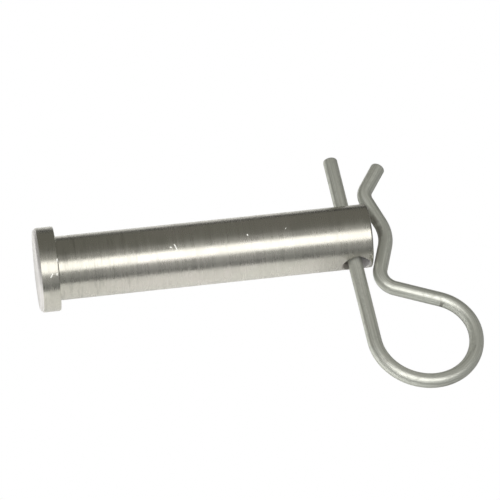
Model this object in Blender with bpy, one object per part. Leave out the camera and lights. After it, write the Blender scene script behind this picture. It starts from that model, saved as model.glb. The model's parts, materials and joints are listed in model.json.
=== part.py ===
"""Hitch pin with its hairpin clip.

A turned pin lies along +X with the centre of its head's outer face at the origin.
A round wire clip goes through the cross hole near the pin's end: a straight leg,
one large loop, and a sprung arm that hooks over the end of the pin.
Lengths are in metres and angles in degrees.
"""
import math

import bmesh
import bpy
from mathutils import Matrix, Vector

# pin
shank_d = 0.015875        # 5/8 in bar
shank_len = 0.0782        # from the head's underside to the end
head_d = 0.0210
head_t = 0.0051
head_chamfer = 0.00075    # outer rim of the head
under_head_break = 0.0003
end_chamfer = 0.00045
pin_sides = 72

# cross hole
hole_play = 0.0030        # hole diameter over the wire's
end_wall = 0.00095        # metal left between the hole and the pin's end
hole_break = 0.0004       # cone that breaks the edges of both mouths
hole_turn = 3.2           # hole, about the pin's axis, its mouth on the loop's side down
hole_sides = 48

# wire clip
wire_d = 0.0036
wire_sides = 16           # an even number
wire_gap = 0.0003         # between the wire and the pin it bears on
loop_r = 0.01284          # first half of the loop, on the wire's centreline
loop_exit_r = 0.01095     # last part of the loop, which closes in
leg_past_pin = 0.0154     # how far the leg's tip stands out of the hole
neck_past_pin = 0.00637   # from the pin's side to the corner of the neck
neck_slope = 22.9         # neck, down from square to the leg
rise_slope = 21.8         # arm from the neck out to the bulge
fall_slope = 17.3         # arm from the bulge in to the throat
flare_slope = 35.9        # tip, away from the leg
throat_past_edge = 0.00433  # along the arm, from the pin's edge to the throat
flare_len = 0.00984
neck_bend_r = 0.0046
bulge_bend_r = 0.0105
throat_bend_r = 0.0040
tip_round = 0.0005        # rounding on both cut ends of the wire
arc_step = 6.0            # degrees of bend in each piece of the wire

# how the clip sits in its hole
clip_skew = 3.0           # leg, away from square to the pin
clip_turn = -6.0          # clip's plane, about the leg
cut_gap = 0.0003          # between the pieces that the wire is cut into
cut_lead = 0.0003         # straight stretch behind each of those cuts

shank_r = shank_d / 2
wire_r = wire_d / 2
pin_len = head_t + shank_len
hole_r = wire_r + hole_play / 2
hole_x = pin_len - end_wall - hole_r
skew = math.radians(clip_skew)
leg_x = hole_x - (hole_r - wire_r - wire_gap) + shank_r * math.tan(skew)


def clear_scene():
    for obj in list(bpy.data.objects):
        bpy.data.objects.remove(obj, do_unlink=True)


def steel(name, colour, roughness):
    mat = bpy.data.materials.new(name)
    mat.use_nodes = True
    shader = mat.node_tree.nodes["Principled BSDF"]
    shader.inputs["Base Color"].default_value = (*colour, 1.0)
    shader.inputs["Metallic"].default_value = 1.0
    shader.inputs["Roughness"].default_value = roughness
    return mat


def link(obj, mat):
    bpy.context.scene.collection.objects.link(obj)
    if mat:
        obj.data.materials.append(mat)
    return obj


# ---- pin ----

def pin_outline():
    """Corners of the turned profile, (along the axis, radius), from the end back to the head."""
    head_r = head_d / 2
    return [
        (pin_len, 0.0),
        (pin_len, shank_r - end_chamfer),
        (pin_len - end_chamfer, shank_r),
        (head_t, shank_r),
        (head_t, head_r - under_head_break),
        (head_t - under_head_break, head_r),
        (head_chamfer, head_r),
        (0.0, head_r - head_chamfer),
        (0.0, 0.0),
    ]


def turned_mesh(name, outline, sides):
    """Revolve an outline about X, both of whose ends lie on the axis."""
    bm = bmesh.new()
    verts = [bm.verts.new((x, r, 0.0)) for x, r in outline]
    edges = [bm.edges.new(pair) for pair in zip(verts, verts[1:])]
    bmesh.ops.spin(
        bm, geom=verts + edges, cent=(0, 0, 0), axis=(1, 0, 0),
        angle=math.tau, steps=sides, use_merge=True,
    )
    bmesh.ops.remove_doubles(bm, verts=bm.verts, dist=1e-6)
    bmesh.ops.recalc_face_normals(bm, faces=bm.faces)
    mesh = bpy.data.meshes.new(name)
    bm.to_mesh(mesh)
    bm.free()
    return mesh


def hole_cutter():
    """Cutter for the cross hole, with a cone at each mouth."""
    cone_y = shank_r - hole_break
    flare_r = hole_r + shank_d - cone_y
    outline = [(-shank_d, 0.0), (-shank_d, flare_r), (-cone_y, hole_r)]
    outline += [(-x, r) for x, r in reversed(outline)]
    cutter = link(bpy.data.objects.new("hole_cutter", turned_mesh("hole_cutter", outline, hole_sides)), None)
    turn = Matrix.Rotation(math.radians(hole_turn), 4, "X")
    cutter.matrix_world = Matrix.Translation((hole_x, 0.0, 0.0)) @ turn @ Matrix.Rotation(math.pi / 2, 4, "Z")
    cutter.hide_render = True
    cutter.display_type = "WIRE"
    return cutter


def make_pin():
    mesh = turned_mesh("clevis_pin", pin_outline(), pin_sides)
    mesh.shade_smooth()
    mesh.set_sharp_from_angle(angle=math.radians(30))
    mat = steel("pin_steel", (0.60, 0.58, 0.53), 0.28)
    pin = link(bpy.data.objects.new("clevis_pin", mesh), mat)
    cut = pin.modifiers.new("cross_hole", "BOOLEAN")
    cut.operation = "DIFFERENCE"
    cut.object = hole_cutter()
    return pin


# ---- clip, in its own plane: x away from the leg, y along the leg towards the loop ----

def clip_frame():
    """Clip's plane in the world: its origin is where the leg crosses the pin's axis."""
    across = Matrix.Rotation(skew, 4, "Z")
    loop_side_down = Matrix.Rotation(math.pi, 4, "X")
    turn = Matrix.Rotation(math.radians(clip_turn), 4, "Y")
    return Matrix.Translation((leg_x, 0.0, 0.0)) @ across @ loop_side_down @ turn


def heading(angle):
    """Unit direction along the leg towards its tip, turned away from the leg by an angle."""
    a = math.radians(angle)
    return Vector((math.sin(a), -math.cos(a)))


def square_to(direction):
    """The same direction turned a quarter turn to its left."""
    return Vector((-direction.y, direction.x))


def end_edge(frame, side):
    """Edge of the pin's end face in the clip's plane: side is 1 towards the loop, -1 towards the tip."""
    edge = Vector((pin_len, -side * (shank_r - end_chamfer), 0.0))
    return (frame.inverted() @ edge).to_2d()


def crossing(p, along_p, q, along_q):
    """Point where two lines of the plane meet."""
    gap = q - p
    turn = along_p.x * along_q.y - along_p.y * along_q.x
    return p + along_p * ((gap.x * along_q.y - gap.y * along_q.x) / turn)


def arc(centre, radius, start, sweep):
    """Points of an arc without its first one; angles in degrees from the plane's x."""
    steps = max(2, math.ceil(abs(sweep) / arc_step))
    angles = [math.radians(start + sweep * i / steps) for i in range(1, steps + 1)]
    return [centre + radius * Vector((math.cos(a), math.sin(a))) for a in angles]


def bend(before, corner, after, radius):
    """Points of the arc that rounds a corner between two straight runs."""
    into = (corner - before).normalized()
    out = (after - corner).normalized()
    half = into.angle(out) / 2
    left = 1 if into.x * out.y - into.y * out.x > 0 else -1
    start = corner - into * radius * math.tan(half)
    centre = start + radius * left * square_to(into)
    spoke = start - centre
    first = math.degrees(math.atan2(spoke.y, spoke.x))
    return [start] + arc(centre, radius, first, left * math.degrees(2 * half))


def square_cut(face, inward):
    """First two points of a wire whose cut face stands square to a direction."""
    return [face, face + inward * cut_lead]


def clip_corners(frame):
    """Corners of the sprung arm and the loop's centre height, all fitted to the pin's end."""
    rise = heading(rise_slope)
    fall = heading(-fall_slope)
    flare = heading(flare_slope)
    stand_off = wire_r + wire_gap
    on_rise = end_edge(frame, 1) + stand_off * square_to(rise)
    on_fall = end_edge(frame, -1) + stand_off * square_to(fall)
    bulge = crossing(on_rise, rise, on_fall, fall)
    throat = on_fall + fall * throat_past_edge
    neck_y = shank_r + neck_past_pin
    neck = on_rise + rise * ((neck_y - on_rise.y) / rise.y)
    tilt = math.radians(neck_slope)
    exit_x = 2 * loop_r - loop_exit_r
    centre_y = neck.y + (exit_x - neck.x) * math.tan(tilt) + loop_exit_r / math.cos(tilt)
    return neck, bulge, throat, throat + flare * flare_len, centre_y


def clip_paths(frame):
    """Centreline points of the leg, of the first half of the loop, and of the rest."""
    neck, bulge, throat, tip, centre_y = clip_corners(frame)
    up = Vector((0.0, 1.0))
    right = Vector((1.0, 0.0))
    leg = [-(shank_r + leg_past_pin) * up, centre_y * up]
    middle = Vector((loop_r, centre_y))
    crown = middle + loop_r * up
    exit_centre = Vector((2 * loop_r - loop_exit_r, centre_y))
    leaves = exit_centre + loop_exit_r * heading(neck_slope)
    first = square_cut(leg[1] + cut_gap * up, up)
    first += arc(middle, loop_r, 180, -90)[:-1]
    first += square_cut(crown - cut_gap / 2 * right, -right)[::-1]
    rest = square_cut(crown + cut_gap / 2 * right, right)
    rest += arc(middle, loop_r, 90, -90)
    rest += arc(exit_centre, loop_exit_r, 0, -90 + neck_slope)
    rest += bend(leaves, neck, bulge, neck_bend_r)
    rest += bend(neck, bulge, throat, bulge_bend_r)
    rest += bend(bulge, throat, tip, throat_bend_r)
    return leg, first, rest + [tip]


def flex_pivot(leg_path):
    """Outer side of the wire at the crown of the loop, where the arm springs open."""
    return Vector((loop_r, leg_path[1].y + loop_r + wire_r))


def rounded_start(points):
    """Places and radius factors that replace the first point, from the cut face inwards."""
    inward = (points[1] - points[0]).normalized()
    places, factors = [], []
    for angle in (0, 30, 60, 90):
        a = math.radians(angle)
        places.append(points[0] + inward * tip_round * (1 - math.cos(a)))
        factors.append(1 - tip_round / wire_r * (1 - math.sin(a)))
    return places, factors


def make_wire(name, points, origin, mat, round_start=False, round_end=False):
    """A round wire along points, as a curve whose own origin is a point of the clip's plane."""
    points = list(points)
    radii = [1.0] * len(points)
    if round_start:
        stretch, thin = rounded_start(points)
        points[:1], radii[:1] = stretch, thin
    if round_end:
        stretch, thin = rounded_start(points[::-1])
        points[-1:], radii[-1:] = stretch[::-1], thin[::-1]
    curve = bpy.data.curves.new(name, "CURVE")
    curve.dimensions = "3D"
    curve.bevel_depth = wire_r
    curve.bevel_resolution = (wire_sides - 4) // 2
    curve.use_fill_caps = True
    spline = curve.splines.new("POLY")
    spline.points.add(len(points) - 1)
    for node, place, radius in zip(spline.points, points, radii):
        local = place - origin
        node.co = (local.x, local.y, 0.0, 1.0)
        node.radius = radius
    return link(bpy.data.objects.new(name, curve), mat)


def make_clip():
    frame = clip_frame()
    leg_path, loop_path, arm_path = clip_paths(frame)
    mat = steel("clip_wire", (0.46, 0.45, 0.40), 0.36)
    on_axis = Vector((0.0, 0.0))
    pivot = flex_pivot(leg_path)
    leg = make_wire("clip_leg", leg_path, on_axis, mat, round_start=True)
    leg.matrix_world = frame
    loop = make_wire("clip_loop", loop_path, on_axis, mat)
    loop.parent = leg
    arm = make_wire("clip_arm", arm_path, pivot, mat, round_end=True)
    arm.parent = loop
    arm.location = (pivot.x, pivot.y, 0.0)


def main():
    clear_scene()
    make_pin()
    make_clip()


main()
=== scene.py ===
import bmesh
import bpy
import json
import math
from mathutils import Matrix, Vector


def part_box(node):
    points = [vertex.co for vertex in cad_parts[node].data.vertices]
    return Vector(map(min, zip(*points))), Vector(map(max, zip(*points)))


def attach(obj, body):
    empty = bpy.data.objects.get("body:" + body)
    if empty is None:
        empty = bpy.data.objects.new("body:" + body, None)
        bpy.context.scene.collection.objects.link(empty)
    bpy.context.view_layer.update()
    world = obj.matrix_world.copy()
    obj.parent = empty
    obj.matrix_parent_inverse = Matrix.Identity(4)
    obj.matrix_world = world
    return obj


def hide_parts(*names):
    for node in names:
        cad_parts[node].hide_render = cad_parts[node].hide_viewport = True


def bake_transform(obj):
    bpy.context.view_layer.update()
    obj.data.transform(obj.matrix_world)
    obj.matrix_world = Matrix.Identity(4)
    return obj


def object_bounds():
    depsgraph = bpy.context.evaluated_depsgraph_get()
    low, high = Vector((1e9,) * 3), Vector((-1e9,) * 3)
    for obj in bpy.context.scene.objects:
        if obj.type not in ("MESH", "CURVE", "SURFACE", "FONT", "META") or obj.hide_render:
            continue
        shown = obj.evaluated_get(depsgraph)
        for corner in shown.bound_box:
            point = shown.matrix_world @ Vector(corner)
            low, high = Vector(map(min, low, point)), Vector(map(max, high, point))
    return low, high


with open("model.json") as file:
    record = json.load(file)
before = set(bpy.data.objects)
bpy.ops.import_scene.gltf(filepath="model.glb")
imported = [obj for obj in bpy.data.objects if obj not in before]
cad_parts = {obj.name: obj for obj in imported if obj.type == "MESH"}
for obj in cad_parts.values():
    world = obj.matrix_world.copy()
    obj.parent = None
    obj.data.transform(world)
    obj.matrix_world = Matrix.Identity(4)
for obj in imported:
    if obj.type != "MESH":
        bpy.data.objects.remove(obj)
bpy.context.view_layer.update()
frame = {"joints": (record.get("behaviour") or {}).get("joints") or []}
bpy.ops.object.select_all(action="DESELECT")
print("frame loaded")

mm = 0.001
joints = {joint["name"]: joint for joint in frame["joints"]}


# shader nodes written as sums

class Wire:
    def __init__(self, tree, socket):
        self.tree = tree
        self.socket = socket

    def node(self, kind, settings=None, out=0, **values):
        made = self.tree.nodes.new(kind)
        for name, value in (settings or {}).items():
            setattr(made, name, value)
        for name, value in values.items():
            socket = findInput(made, name)
            if isinstance(value, Wire):
                self.tree.links.new(value.socket, socket)
            else:
                socket.default_value = value
        return Wire(self.tree, made.outputs[out])

    def maths(self, operation, other=None, first=None):
        made = self.tree.nodes.new("ShaderNodeMath")
        made.operation = operation
        pair = (self, other) if first is None else (first, self)
        for slot, value in enumerate(pair):
            if isinstance(value, Wire):
                self.tree.links.new(value.socket, made.inputs[slot])
            elif value is not None:
                made.inputs[slot].default_value = value
        return Wire(self.tree, made.outputs[0])

    def __add__(self, other):
        return self.maths("ADD", other)

    def __radd__(self, other):
        return self.maths("ADD", first=other)

    def __sub__(self, other):
        return self.maths("SUBTRACT", other)

    def __rsub__(self, other):
        return self.maths("SUBTRACT", first=other)

    def __mul__(self, other):
        return self.maths("MULTIPLY", other)

    def __rmul__(self, other):
        return self.maths("MULTIPLY", first=other)

    def between(self, low, high):
        return self.node("ShaderNodeMapRange", {"interpolation_type": "SMOOTHSTEP"},
                         Value=self, From_Min=low, From_Max=high)


def findInput(made, name):
    wanted = name.replace("_", " ")
    for socket in made.inputs:
        if socket.enabled and socket.name == wanted:
            return socket
    return made.inputs[int(name[1:])]


def newFinish(name):
    material = bpy.data.materials.new(name)
    material.use_nodes = True
    shader = material.node_tree.nodes["Principled BSDF"]
    return material, shader, Wire(material.node_tree, None)


def plug(shader, name, wire):
    wire.tree.links.new(wire.socket, shader.inputs[name])


def mixColour(start, factor, under, over):
    return start.node("ShaderNodeMix", {"data_type": "RGBA"}, 2, i0=factor, i6=under, i7=over)


def splitUp(start, vector):
    split = start.tree.nodes.new("ShaderNodeSeparateXYZ")
    start.tree.links.new(vector.socket, split.inputs[0])
    return [Wire(start.tree, socket) for socket in split.outputs]


def scaled(start, vector, factors):
    return start.node("ShaderNodeVectorMath", {"operation": "MULTIPLY"}, i0=vector, i1=factors)


def noise(start, vector, detail=2.0, rough=0.5, scale=1.0):
    return start.node("ShaderNodeTexNoise", Vector=vector, Scale=scale, Detail=detail, Roughness=rough)


# turned and polished bar steel of the pin

pinSteel = {
    "colour": (0.610, 0.595, 0.550),
    "dark": (0.565, 0.550, 0.505),
    "bright": (0.70, 0.685, 0.645),
    "darkerEnds": (0.530, 0.515, 0.470),      # darker tone towards both ends of the shank, over the head too
    "darkerEndsHead": (0.004, 0.034),
    "darkerEndsFar": (0.052, 0.080),
    "rosy": (0.615, 0.580, 0.550),
    "roughness": 0.27,
    "ringFine": 4200,      # rings per metre of travel of the tool
    "ringBroad": 800,
    "ringRub": 2300,
    "around": 45,          # how soon a ring breaks up round the bar
    "rubAround": 260,
    "slope": 1.7,          # travel across a flat face for each metre of radius
    "grooveDepth": 0.035,
    "fineSwing": 0.13,     # how far a ring shifts the roughness
    "broadSwing": 0.17,
    # white of the painted glints on the nicks, standing in for the light they catch
    "nickGlintColour": (1.0, 1.0, 0.97),
    "smear": (0.36, 0.35, 0.32),           # dull streaks, most of them by the head
    "smearFine": 1100,
    "smearAround": 150,
    "smearReach": (0.010, 0.040),
    "smearDepth": 0.55,
    "faceColour": (0.70, 0.675, 0.685),    # faced-off end of the head, duller than the sides
    "faceMetal": 0.72,
    "faceRoughness": 0.40,
    "faceEdge": (0.00068, 0.00086),
    "faceFine": 1500,
    "faceAround": 12,
    # painted light: the bore's side towards the pin's end, coloured as lit
    "boreLitColour": (0.60, 0.585, 0.60),
    "boreShade": (0.44, 0.41, 0.38),       # painted shade on the bore's side towards the head, away from the light
    "boreMetal": 0.25,
    "boreRoughness": 0.60,
    # real nicks, each painted as a white glint
    "glintingNicks": (             # mm along, degrees from the top to the front, length and width in mm, lean
        (34.4, 16.6, 2.1, 0.42, 21.0),
        (33.2, 15.9, 0.6, 0.50, 60.0),
        (52.4, 7.6, 0.6, 0.50, 0.0),
        (3.2, 41.1, 1.4, 0.40, -32.0),
        (4.5, 40.0, 0.6, 0.55, 0.0),
        (5.0, 21.0, 0.9, 0.70, 0.0),
        (20.5, 30.0, 0.9, 0.18, 65.0),
        (62.0, 3.0, 0.6, 0.22, -50.0),
        (44.5, -120.0, 1.6, 0.22, 25.0),
        (22.0, 160.0, 1.2, 0.25, -40.0),
        (66.0, -60.0, 0.9, 0.22, 60.0),
    ),
}


# mask of one nick, where its white glint is painted
def nickGlintMask(x, y, z, nick, headR, headT, shankR):
    place, angle, length, width, lean = nick
    r = (headR if place * mm < headT else shankR)
    a, t = math.radians(angle), math.radians(lean)
    out = z * math.cos(a) - y * math.sin(a)        # on this side of the bar only
    along = x - place * mm
    around = -1 * (y * math.cos(a) + z * math.sin(a))
    u = (along * math.sin(t) + around * math.cos(t)).maths("ABSOLUTE")
    w = (along * math.cos(t) - around * math.sin(t)).maths("ABSOLUTE")
    inLength = 1 - u.between(0.3 * length * mm, 0.5 * length * mm)
    inWidth = 1 - w.between(0.1 * width * mm, 0.5 * width * mm)
    return inLength * inWidth * out.between(0.6 * r, 0.7 * r)


def turnedSteel(holeX, boreR, holeTurn, headR, headT, shankR):
    v = pinSteel
    material, shader, start = newFinish("pinSteel")
    place = start.node("ShaderNodeTexCoord", out=3)
    x, y, z = splitUp(start, place)
    radius = (y * y + z * z).maths("SQRT")
    travel = x + radius * v["slope"]               # grows along the bar and across its flat faces

    def rings(pitch, along, seed, detail):
        vector = start.node("ShaderNodeCombineXYZ", X=travel * pitch, Y=y * along + seed, Z=z * along)
        return noise(start, vector, detail=detail)

    fine = rings(v["ringFine"], v["around"], 0.0, 2.0)
    broad = rings(v["ringBroad"], v["around"] * 0.6, 7.3, 3.0)
    slow = noise(start, place, detail=3.0, scale=210.0)
    cast = noise(start, scaled(start, place, (60.0, 150.0, 150.0)), detail=2.0)
    rub = rings(v["ringRub"], v["rubAround"], 3.1, 2.0).between(0.62, 0.74)
    acrossHole = z - y * math.tan(math.radians(holeTurn))
    fromBore = ((x - holeX) * (x - holeX) + acrossHole * acrossHole).maths("SQRT")
    bore = 1 - fromBore.between(boreR, boreR + 0.05 * mm)
    bore = bore * (1 - radius.between(shankR - 0.07 * mm, shankR - 0.03 * mm))   # not on the shank's outside
    glintingNicks = nickGlintMask(x, y, z, v["glintingNicks"][0], headR, headT, shankR)
    for nick in v["glintingNicks"][1:]:
        glintingNicks = glintingNicks + nickGlintMask(x, y, z, nick, headR, headT, shankR)

    base = mixColour(start, broad.between(0.35, 0.68), (*v["dark"], 1), (*v["colour"], 1))
    base = mixColour(start, cast.between(0.42, 0.62) * 0.7, base, (*v["rosy"], 1))
    base = mixColour(start, fine.between(0.52, 0.8) * 0.25, base, (*v["bright"], 1))
    base = mixColour(start, slow.between(0.42, 0.66) * 0.60, base, (*v["dark"], 1))
    # darker towards both ends of the shank, strongest over the head
    darkerEnds = 1 - x.between(*v["darkerEndsHead"]) + x.between(*v["darkerEndsFar"]) * 0.6
    base = mixColour(start, darkerEnds, base, (*v["darkerEnds"], 1))
    streaks = rings(v["smearFine"], v["smearAround"], 11.0, 3.0).between(0.50, 0.74)
    byHead = 1.15 - x.between(*v["smearReach"])
    base = mixColour(start, streaks * byHead * v["smearDepth"], base, (*v["smear"], 1))
    # the bore is painted lit towards the pin's end and shaded towards the head
    toEnd = (x - holeX).between(-0.4 * mm, 1.2 * mm)
    inside = mixColour(start, toEnd, (*v["boreShade"], 1), (*v["boreLitColour"], 1))
    base = mixColour(start, bore, base, inside)
    face = 1 - x.between(*v["faceEdge"])
    stripes = rings(v["faceFine"], v["faceAround"], 5.0, 2.0).between(0.38, 0.62)
    base = mixColour(start, face * (0.45 + stripes * 0.5), base, (*v["faceColour"], 1))
    # painted glints: the nicks in white
    base = mixColour(start, glintingNicks, base, (*v["nickGlintColour"], 1))
    plug(shader, "Base Color", base)
    metal = (1 - bore * (1 - v["boreMetal"])) * (1 - glintingNicks)
    plug(shader, "Metallic", metal * (1 - face * (1 - v["faceMetal"])))
    rough = v["roughness"] + (fine - 0.5) * v["fineSwing"] + (broad - 0.5) * v["broadSwing"]
    rough = rough + (slow - 0.5) * 0.20 + rub * 0.05
    rough = rough * (1 - bore) + bore * v["boreRoughness"]
    rough = rough + glintingNicks * 0.2 + face * (v["faceRoughness"] - v["roughness"])
    plug(shader, "Roughness", rough)
    relief = fine * 0.6 + broad * 1.2 + rub * 0.5
    bump = start.node("ShaderNodeBump", Strength=v["grooveDepth"], Distance=0.1 * mm, Height=relief)
    plug(shader, "Normal", bump)
    return material


# drawn spring wire of the clip

wireSteel = {
    "colour": (0.755, 0.765, 0.715),
    "dark": (0.575, 0.585, 0.54),
    "bright": (0.84, 0.84, 0.80),
    "metal": 0.80,
    "roughness": 0.42,
    "edge": (0.50, 0.50, 0.47),            # tint where the surface turns away
    "grainDepth": 0.26,
    "drawn": 2600,         # die lines per metre round the wire
    "along": 55,           # how soon a die line fades along the wire
    "marks": (             # mm along the wire, to its side, length and width in mm, depth of shade
        # the marks at 136.8 and 140.8 are painted contact shadow where the arm lies against the pin's end;
        # the others are darker spots
        (106.5, 1.75, 1.3, 0.9, 0.9),
        (136.8, 1.3, 4.6, 1.3, 0.5),
        (140.8, 1.3, 3.4, 1.2, 0.5),
        (60.5, -0.6, 1.8, 0.5, 0.4),
        (88.0, 0.4, 3.0, 0.4, 0.4),
        (120.0, -0.7, 1.4, 0.5, 0.4),
    ),
    # colour of the darker spots and of the painted contact shadow
    "darkSpotAndContactShade": (0.30, 0.295, 0.27),
}


def markMask(side, along, ragged, mark):
    at, across, length, width, depth = mark
    far = (along - at * mm + ragged).maths("ABSOLUTE")
    wide = (side - across * mm + ragged).maths("ABSOLUTE")
    inLength = 1 - far.between(0.25 * length * mm, 0.5 * length * mm)
    inWidth = 1 - wide.between(0.2 * width * mm, 0.5 * width * mm)
    return inLength * inWidth * depth


def drawnWire():
    v = wireSteel
    material, shader, start = newFinish("clipWire")
    shader.inputs["Metallic"].default_value = v["metal"]
    place = start.node("ShaderNodeAttribute", {"attribute_name": "wireCoord"}, 1)
    lines = noise(start, scaled(start, place, (v["drawn"], v["drawn"], v["along"])), detail=3.0)
    broad = noise(start, scaled(start, place, (700, 700, 30)), detail=2.0)
    mottle = noise(start, place, detail=4.0, scale=900.0, rough=0.6)
    base = mixColour(start, lines.between(0.34, 0.66), (*v["dark"], 1), (*v["colour"], 1))
    base = mixColour(start, broad.between(0.5, 0.75) * 0.55, base, (*v["bright"], 1))
    base = mixColour(start, mottle.between(0.50, 0.68) * 0.60, base, (*v["dark"], 1))
    side, up, along = splitUp(start, place)
    ragged = (mottle - 0.5) * 0.8 * mm
    marks = markMask(side, along, ragged, v["marks"][0])
    for mark in v["marks"][1:]:
        marks = marks + markMask(side, along, ragged, mark)
    # darker spots and painted contact shadow on the wire
    base = mixColour(start, marks, base, (*v["darkSpotAndContactShade"], 1))
    plug(shader, "Base Color", base)
    shader.inputs["Specular Tint"].default_value = (*v["edge"], 1)
    rough = v["roughness"] + (lines - 0.5) * 0.22 + (mottle - 0.5) * 0.28
    plug(shader, "Roughness", rough)
    relief = lines + broad * 0.8 + mottle * 1.6
    bump = start.node("ShaderNodeBump", Strength=v["grainDepth"], Distance=0.1 * mm, Height=relief)
    plug(shader, "Normal", bump)
    return material


# picking and finishing while modelling

def pick(kind, test):
    bpy.ops.mesh.select_mode(type=kind)
    bpy.ops.mesh.select_all(action="DESELECT")
    shape = bmesh.from_edit_mesh(bpy.context.object.data)
    for part in (shape.faces if kind == "FACE" else shape.edges):
        part.select_set(test(part))
    shape.select_flush_mode()
    bmesh.update_edit_mesh(bpy.context.object.data)


def ringAt(x, r, slack=0.00004):
    def test(edge):
        return all(abs(vert.co.x - x) < slack and abs(vert.co.yz.length - r) < slack for vert in edge.verts)
    return test


def roundRing(x, r, size, steps):
    pick("EDGE", ringAt(x, r))
    bpy.ops.mesh.bevel(offset=size, segments=steps, affect="EDGES", clamp_overlap=True)


def cutWith(piece, cutter):
    cut = piece.modifiers.new("cut", "BOOLEAN")
    cut.operation = "DIFFERENCE"
    cut.object = cutter
    bpy.context.view_layer.objects.active = piece
    bpy.ops.object.modifier_apply(modifier=cut.name)
    bpy.data.objects.remove(cutter)


def smooth(piece, angle=35):
    bpy.ops.object.select_all(action="DESELECT")
    piece.select_set(True)
    bpy.context.view_layer.objects.active = piece
    bpy.ops.object.shade_smooth_by_angle(angle=math.radians(angle))


# the pin, turned from one bar

pinTurned = {
    "sides": 288,
    "shankR": 7.9375 * mm,
    "headT": 5.1 * mm,
    "rimChamfer": 0.75 * mm,
    "rimSoft": 0.10 * mm,
    "underBreak": 0.28 * mm,
    "rootFillet": 0.25 * mm,
    "endChamfer": 0.45 * mm,
    "holeR": 3.3 * mm,
    "endWall": 0.95 * mm,
    "sink": 0.40 * mm,       # countersink that takes the burr off the hole
    "holeTurn": 4.6,         # degrees about the pin, the mouth in front down
}


def makePin():
    v = pinTurned
    low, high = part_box("clevis_pin")
    headR = high.y
    endX = high.x
    holeX = endX - v["endWall"] - v["holeR"]
    quarter = math.pi / 2
    bpy.ops.mesh.primitive_cylinder_add(
        vertices=v["sides"], radius=headR, depth=v["headT"],
        location=(v["headT"] / 2, 0, 0), rotation=(0, quarter, 0))
    pin = bpy.context.object
    pin.name = "turnedPin"
    bpy.ops.object.transform_apply(location=True, rotation=True, scale=True)
    bpy.ops.object.mode_set(mode="EDIT")
    pick("FACE", lambda face: face.normal.x > 0.9)
    bpy.ops.mesh.inset(thickness=headR - v["shankR"])
    bpy.ops.mesh.extrude_region_move(TRANSFORM_OT_translate={"value": (endX - v["headT"], 0, 0)})
    for x, r, size, steps in (
            (endX, v["shankR"], v["endChamfer"], 3),
            (v["headT"], v["shankR"], v["rootFillet"], 3),
            (v["headT"], headR, v["underBreak"], 2),
            (0.0, headR, v["rimChamfer"], 1),
            (0.0, headR - v["rimChamfer"], v["rimSoft"], 2),
            (v["rimChamfer"], headR, v["rimSoft"], 2)):
        roundRing(x, r, size, steps)
    for x in (holeX - v["holeR"] * 1.25, holeX + v["holeR"] * 1.08):   # short facets round the hole
        bpy.ops.mesh.select_all(action="SELECT")
        bpy.ops.mesh.bisect(plane_co=(x, 0, 0), plane_no=(1, 0, 0))
    bpy.ops.object.mode_set(mode="OBJECT")
    cutWith(pin, holeCutter(holeX))
    smooth(pin)
    boreR = v["holeR"] + v["sink"]
    pin.data.materials.append(turnedSteel(holeX, boreR, v["holeTurn"], headR, v["headT"], v["shankR"]))
    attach(pin, "pin")
    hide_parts("clevis_pin")
    print("pin made", len(pin.data.polygons))
    return pin


def holeCutter(holeX):
    v = pinTurned
    reach = 1.4 * v["shankR"]
    bpy.ops.mesh.primitive_cylinder_add(
        vertices=128, radius=v["holeR"], depth=2 * reach,
        location=(holeX, 0, 0), rotation=(math.pi / 2, 0, 0))
    cutter = bpy.context.object
    bpy.ops.object.transform_apply(location=True, rotation=True, scale=True)
    bpy.ops.object.mode_set(mode="EDIT")
    mouth = v["shankR"] - v["sink"]
    for side in (-1, 1):
        bpy.ops.mesh.select_all(action="SELECT")
        bpy.ops.mesh.bisect(plane_co=(0, side * mouth, 0), plane_no=(0, 1, 0))
        pick("FACE", lambda face: face.normal.y * side > 0.9)
        flare = 1 + (reach - mouth) / v["holeR"]
        bpy.ops.transform.resize(value=(flare, 1, flare))
    bpy.ops.object.mode_set(mode="OBJECT")
    cutter.rotation_euler.x = math.radians(v["holeTurn"])
    return cutter


# the clip, bent from one length of wire; the leg's tip comes first

clipBent = {
    "wireR": 1.8 * mm,
    "sides": 40,
    "tipRound": 0.5 * mm,
    "tip": -23.3375,                     # along the leg from the pin's axis
    "legRun": 53.9609,
    "seam": 0.01,                        # hairline left at the swivel, so that the turning faces stay apart
    "bends": (                           # run before the bend, its radius, its turn
        (0.0, 12.84, -180.0),
        (0.0, 10.95, -67.1),
        (11.4949, 4.6, 88.9),
        (6.9685, 10.5, -39.1),
        (7.0024, 4.0, 53.2),
    ),
    "flareRun": 7.8369,
    "step": 2.5,                         # degrees of bend between rings
    "blendStart": (13.84, 42.5),         # across and along, just past the crown of the loop
    "blendReach": 12.0,
}


def clipPlane():
    along = Vector(joints["clip_pull"]["axis"]).normalized()
    normal = Vector(joints["clip_flex"]["axis"]).normalized()
    return Vector(joints["clip_swivel"]["pos_m"]), along, normal


def ringAcross(place, along, normal):
    v = clipBent
    bpy.ops.mesh.primitive_circle_add(vertices=v["sides"], radius=v["wireR"], fill_type="NOTHING")
    ring = bpy.context.object
    turn = Matrix((normal, along.cross(normal), along)).transposed()
    ring.matrix_world = Matrix.Translation(place) @ turn.to_4x4()
    bpy.ops.object.transform_apply(location=True, rotation=True, scale=True)
    bpy.ops.object.mode_set(mode="EDIT")
    bpy.ops.mesh.select_mode(type="EDGE")
    bpy.ops.mesh.select_all(action="SELECT")
    return ring


def run(place, direction, length, stations):
    pieces = max(1, round(length / 0.004))
    for i in range(pieces):
        bpy.ops.mesh.extrude_region_move(
            TRANSFORM_OT_translate={"value": direction * length / pieces})
    stations.append((place.copy(), direction.copy(), length))
    return place + direction * length


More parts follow.
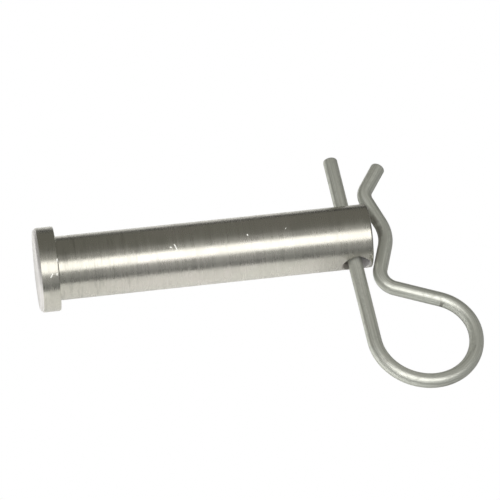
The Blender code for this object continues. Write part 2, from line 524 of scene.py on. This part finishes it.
def bendRound(place, direction, normal, radius, turn, stations):
    side = normal.cross(direction) * (1 if turn > 0 else -1)
    centre = place + side * radius
    steps = max(4, round(abs(turn) / clipBent["step"]))
    bpy.ops.mesh.spin(steps=steps, angle=-math.radians(turn), center=centre, axis=normal)
    swing = Matrix.Rotation(math.radians(turn) / steps, 3, normal)
    for i in range(steps):
        nextPlace = centre + swing @ (place - centre)
        stations.append((place.copy(), (nextPlace - place).normalized(), (nextPlace - place).length))
        place = nextPlace
        direction = swing @ direction
    return place, direction


def closeEnds(ring, tips):
    bpy.ops.mesh.select_mode(type="EDGE")
    shape = bmesh.from_edit_mesh(ring.data)
    for tip, rounded in tips:
        bpy.ops.mesh.select_all(action="DESELECT")
        for edge in shape.edges:
            middle = (edge.verts[0].co + edge.verts[1].co) / 2
            edge.select_set(edge.is_boundary and (middle - tip).length < clipBent["wireR"] * 1.1)
        bpy.ops.mesh.edge_face_add()
        if rounded:
            bpy.ops.mesh.select_mode(type="EDGE")
            bpy.ops.mesh.bevel(offset=clipBent["tipRound"], segments=5, affect="EDGES")
        shape = bmesh.from_edit_mesh(ring.data)
    bpy.ops.mesh.select_all(action="SELECT")
    bpy.ops.mesh.normals_make_consistent(inside=False)
    bpy.ops.object.mode_set(mode="OBJECT")


def straightened(piece, stations, normal, startLength):
    place = piece.data.attributes.new("wireCoord", "FLOAT_VECTOR", "POINT")
    lengths = [startLength]
    for start, direction, length in stations:
        lengths.append(lengths[-1] + length)
    for vert, item in zip(piece.data.vertices, place.data):
        best = None
        for (start, direction, length), before in zip(stations, lengths):
            offset = vert.co - start
            down = offset.dot(direction)
            near = min(max(down, 0.0), length)
            gap = (offset - direction * near).length
            if best is None or gap < best[0]:
                side = direction.cross(normal)
                best = (gap, offset.dot(side), offset.dot(normal), before + down)
        item.vector = best[1:]


def makeClip():
    v = clipBent
    origin, along, normal = clipPlane()
    wire = drawnWire()

    tip = origin + along * v["tip"] * mm
    leg = ringAcross(tip, along, normal)
    leg.name = "clipLeg"
    stations = []
    place = run(tip, along, (v["legRun"] - v["seam"]) * mm, stations)
    closeEnds(leg, ((tip, True), (place, False)))
    straightened(leg, stations, normal, 0.0)

    place = place + along * v["seam"] * mm
    shoulder = place.copy()
    spring = ringAcross(shoulder, along, normal)
    spring.name = "clipSpring"
    stations = []
    direction = along
    for length, radius, turn in v["bends"]:
        if length:
            place = run(place, direction, length * mm, stations)
        place, direction = bendRound(place, direction, normal, radius * mm, turn, stations)
    place = run(place, direction, v["flareRun"] * mm, stations)
    closeEnds(spring, ((shoulder, False), (place, True)))
    straightened(spring, stations, normal, v["legRun"] * mm)

    for piece in (leg, spring):
        smooth(piece, 50)
        piece.data.materials.append(wire)
    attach(leg, "leg")
    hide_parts("clip_leg")
    across = along.cross(normal) * -1
    pull = across - along                          # from the crown towards the arm
    crown = origin + (across * v["blendStart"][0] + along * v["blendStart"][1]) * mm
    crown + pull * v["blendReach"] * mm
    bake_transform(spring)
    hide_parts("clip_loop", "clip_arm")
    print("clip made", len(leg.data.polygons), len(spring.data.polygons))
    return leg, spring


# studio

studio = {
    "floorSize": 6.0,
    "azimuth": -10.675,
    "elevation": 57.45,
    "roll": 2.975,
    "target": (53.68 * mm, 1.36 * mm, -3.1 * mm),
    "distance": 1.0,
    "lens": 288.9,
    "paper": (0.80, 0.805, 0.80),        # the sheet that lights the steel from below
    "paperGlow": 0.26,
    "paperDim": 0.16,                    # its share of the glow away from the softbox
    "paperBack": (0.025, 0.085),         # fades out behind the pin
    "paperFront": (-0.34, -0.17),        # and again towards the camera
    "sideGlow": 0.50,                    # beside the head
    "sideReach": (-0.012, 0.004),
    "paperFar": (0.062, 0.108),          # weaker beyond the pin's end
    "farFade": 0.65,
    "roomBack": (0.196, 0.195, 0.170),
    "roomFront": (0.219, 0.226, 0.217),
    "lightColour": (1.0, 0.99, 0.955),
    "lightAside": 0.03,
    "lights": (                          # tilt to the front, distance, two sizes, power, seen in the steel
        (28.0, 0.75, 1.0, 0.46, 2.7, True),
        (14.0, 0.80, 1.2, 0.80, 0.5, True),
        (10.0, 0.90, 1.3, 1.30, 5.5, False),
        (60.0, 0.80, 1.2, 0.40, 0.25, True),
    ),
}


def makeFloor(name, low, sees):
    bpy.ops.mesh.primitive_plane_add(size=studio["floorSize"], location=(0, 0, low))
    floor = bpy.context.object
    floor.name = name
    bpy.ops.object.transform_apply(location=True, rotation=True, scale=True)
    floor.visible_camera = sees
    floor.visible_glossy = not sees
    floor.visible_diffuse = not sees
    floor.visible_shadow = not sees
    material, shader, start = newFinish(name)
    shader.inputs["Roughness"].default_value = 1.0
    shader.inputs["Specular IOR Level"].default_value = 0.0
    floor.data.materials.append(material)
    return shader, start


def makeStudio():
    v = studio
    low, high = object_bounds()
    shader, start = makeFloor("paleFloor", low.z - 0.0001, True)
    shader.inputs["Base Color"].default_value = (0.0, 0.0, 0.0, 1)
    shader.inputs["Emission Color"].default_value = (1, 1, 1, 1)
    shader.inputs["Emission Strength"].default_value = 1.0
    shader, start = makeFloor("litPaper", low.z - 0.0002, False)
    x, y, z = splitUp(start, start.node("ShaderNodeTexCoord", out=3))
    glow = (1 - y.between(*v["paperBack"])) * y.between(*v["paperFront"])
    glow = glow * (1 - v["paperDim"]) + v["paperDim"]
    glow = glow * (1 - x.between(*v["paperFar"]) * v["farFade"])
    beside = 1 - x.between(*v["sideReach"])
    plug(shader, "Base Color", mixColour(start, glow, (0, 0, 0, 1), (*v["paper"], 1)))
    bright = glow * v["paperGlow"] + glow * beside * v["sideGlow"]
    plug(shader, "Emission Color", mixColour(start, bright, (0, 0, 0, 1), (*v["paper"], 1)))
    shader.inputs["Emission Strength"].default_value = 1.0

    world = bpy.data.worlds.new("room")
    bpy.context.scene.world = world
    world.use_nodes = True
    tree = world.node_tree
    start = Wire(tree, None)
    x, y, z = splitUp(start, start.node("ShaderNodeTexCoord"))
    walls = mixColour(start, y.between(-0.8, 0.8), (*v["roomFront"], 1), (*v["roomBack"], 1))
    tree.links.new(walls.socket, tree.nodes["Background"].inputs["Color"])

    target = Vector(v["target"])
    for tilt, distance, along, across, power, seen in v["lights"]:
        tilt = math.radians(tilt)
        bpy.ops.object.light_add(type="AREA")
        softbox = bpy.context.object
        softbox.name = "softbox"
        softbox.data.shape = "RECTANGLE"
        softbox.data.size = along
        softbox.data.size_y = across
        softbox.data.energy = power
        softbox.data.color = v["lightColour"]
        softbox.visible_glossy = seen
        softbox.location = target + Vector((v["lightAside"], -math.sin(tilt), math.cos(tilt))) * distance
        softbox.rotation_euler.x = tilt

    a, e = math.radians(v["azimuth"]), math.radians(v["elevation"])
    back = Vector((math.sin(a) * math.cos(e), -math.cos(a) * math.cos(e), math.sin(e)))
    bpy.ops.object.camera_add(location=target + back * v["distance"])
    camera = bpy.context.object
    turn = (-back).to_track_quat("-Z", "Y").to_matrix().to_4x4()
    roll = Matrix.Rotation(math.radians(v["roll"]), 4, "Z")
    camera.matrix_world = Matrix.Translation(camera.location) @ turn @ roll
    camera.data.lens = v["lens"]
    camera.data.clip_start = 0.05
    camera.data.clip_end = 20
    bpy.context.scene.camera = camera
    bpy.context.scene.view_settings.view_transform = "Standard"
    print("studio set")


makePin()
makeClip()
makeStudio()
